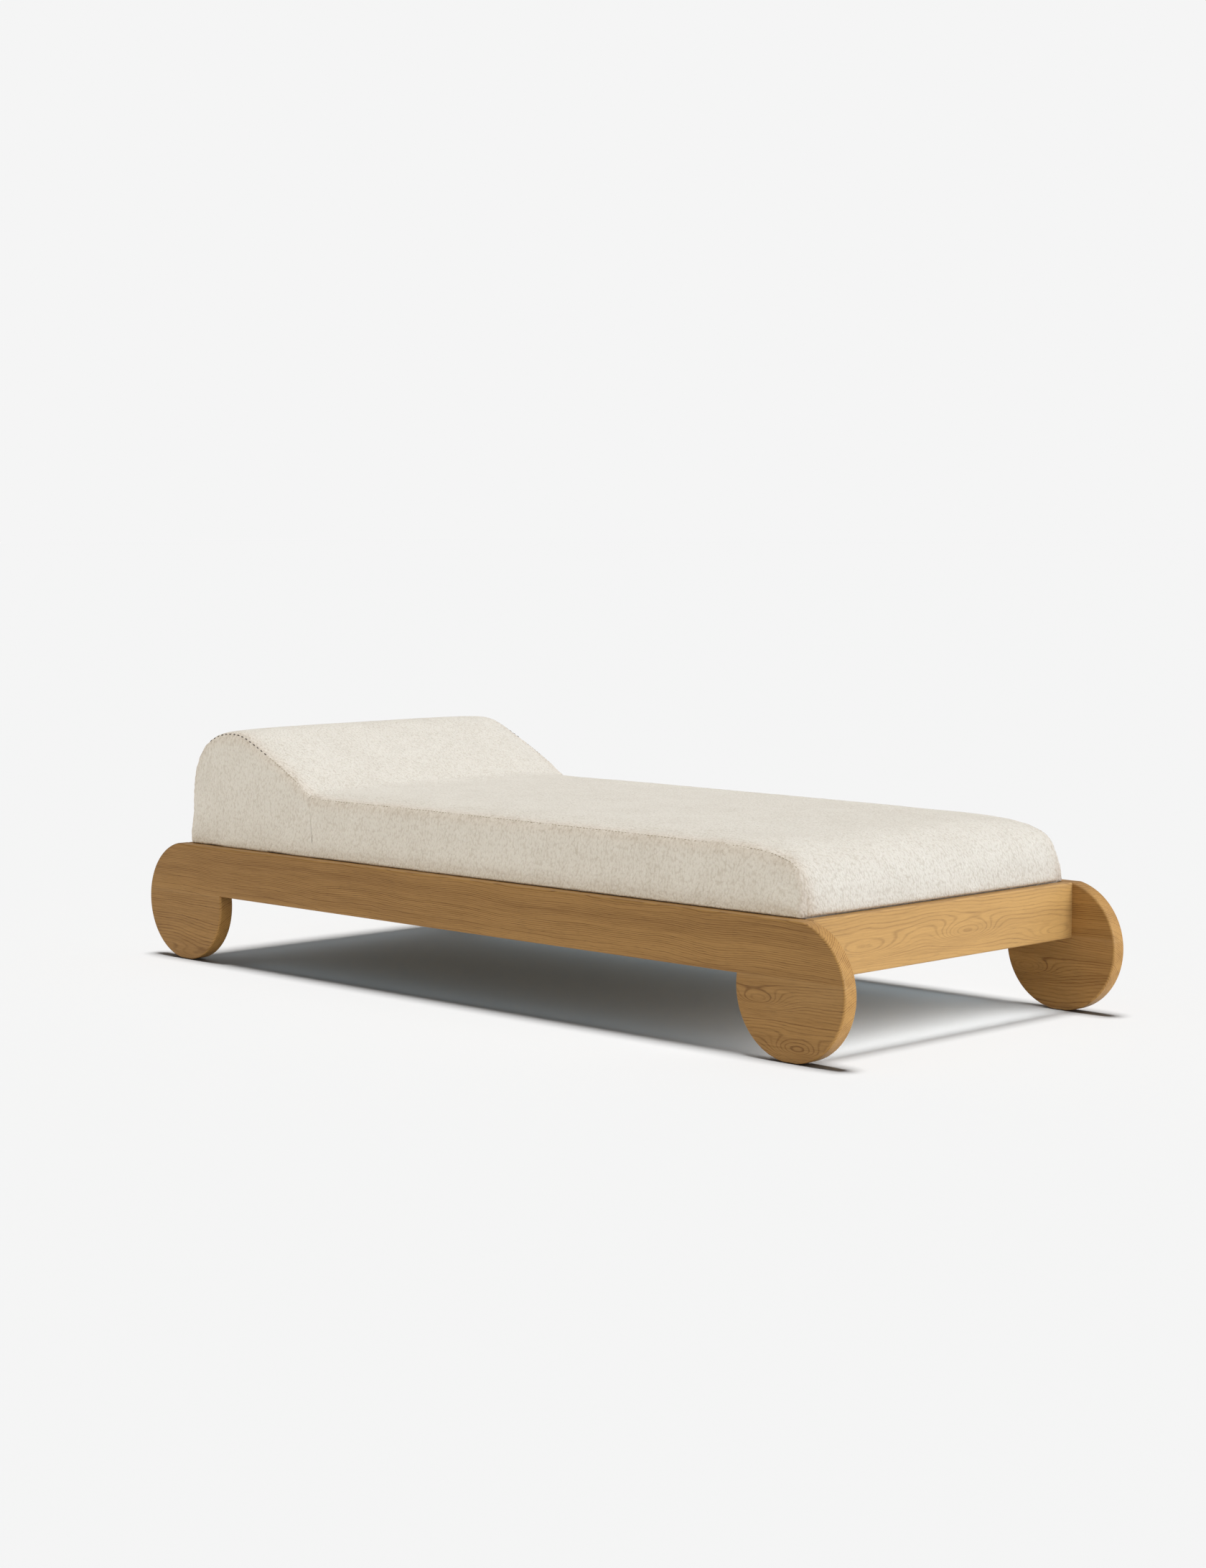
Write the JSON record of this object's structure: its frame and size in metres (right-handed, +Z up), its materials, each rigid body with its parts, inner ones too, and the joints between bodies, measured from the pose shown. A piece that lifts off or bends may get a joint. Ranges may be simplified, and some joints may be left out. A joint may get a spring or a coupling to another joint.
{
  "type": "daybed sofa",
  "caption": "Low upholstered daybed: solid oak box frame on round disc feet, slatted base, loose pile-fabric cushion with a sloped head bolster.",
  "frame": {"origin": "on the floor, at the bottom centre of the object's bounding box", "axes": "+X along the length to the foot end, +Y across to the far long side, +Z up; the bolster is at the head end, -X"},
  "size_m": [2.125, 0.872, 0.5341],
  "materials": {
    "oak": "satin oiled oak, straight grain with cathedral figure on the feet",
    "slat_wood": "planed pine, unfinished",
    "dowel_wood": "turned beech, unfinished",
    "glide_nylon": "moulded nylon",
    "bracket_steel": "zinc plated",
    "screw_steel": "zinc plated",
    "foam": "open-cell upholstery foam",
    "cover_fabric": "cream short-pile boucle",
    "zip_tape": "nylon coil zip",
    "zip_metal": "nickel plated"
  },
  "bodies": {
    "frame": {"bracket_screws": "screw_steel", "corner_dowels": "dowel_wood", "far_foot_corner_bracket": "bracket_steel", "far_foot_floor_glide": "glide_nylon", "far_foot_round_foot": "oak", "far_head_corner_bracket": "bracket_steel", "far_head_floor_glide": "glide_nylon", "far_head_round_foot": "oak", "far_side_board": "oak", "far_slat_ledger": "slat_wood", "foot_dowels": "dowel_wood", "foot_end_board": "oak", "head_end_board": "oak", "ledger_screws": "screw_steel", "near_foot_corner_bracket": "bracket_steel", "near_foot_floor_glide": "glide_nylon", "near_foot_round_foot": "oak", "near_head_corner_bracket": "bracket_steel", "near_head_floor_glide": "glide_nylon", "near_head_round_foot": "oak", "near_side_board": "oak", "near_slat_ledger": "slat_wood", "slat_01": "slat_wood", "slat_02": "slat_wood", "slat_03": "slat_wood", "slat_04": "slat_wood", "slat_05": "slat_wood", "slat_06": "slat_wood", "slat_07": "slat_wood", "slat_08": "slat_wood", "slat_09": "slat_wood", "slat_10": "slat_wood", "slat_11": "slat_wood", "slat_12": "slat_wood", "slat_13": "slat_wood", "slat_screws": "screw_steel"},
    "cushion": {"bolster_foam": "foam", "cover_bolster_panel": "cover_fabric", "cover_bottom_panel": "cover_fabric", "cover_foot_panel": "cover_fabric", "cover_head_panel": "cover_fabric", "cover_seat_panel": "cover_fabric", "far_bolster_side_panel": "cover_fabric", "far_seat_side_panel": "cover_fabric", "near_bolster_side_panel": "cover_fabric", "near_seat_side_panel": "cover_fabric", "seat_comfort_layer": "foam", "seat_foam_core": "foam", "zip_chain": "zip_tape"},
    "zip_slider": {"zip_slider": "zip_metal"},
    "zip_pull": {"zip_pull": "zip_metal"}
  },
  "joints": [
    {"name": "cushion_lift", "type": "slide", "parent": "frame", "child": "cushion", "axis": [0, 0, 1], "range_m": [0, 0.3]},
    {"name": "zip_slide", "type": "slide", "parent": "cushion", "child": "zip_slider", "axis": [1, 0, 0], "range_m": [0, 1.34]},
    {"name": "zip_pull_swing", "type": "hinge", "parent": "zip_slider", "child": "zip_pull", "pos_m": [-0.467, 0.3993, 0.30425], "axis": [1, 0, 0], "range_deg": [0, 150]}
  ]
}
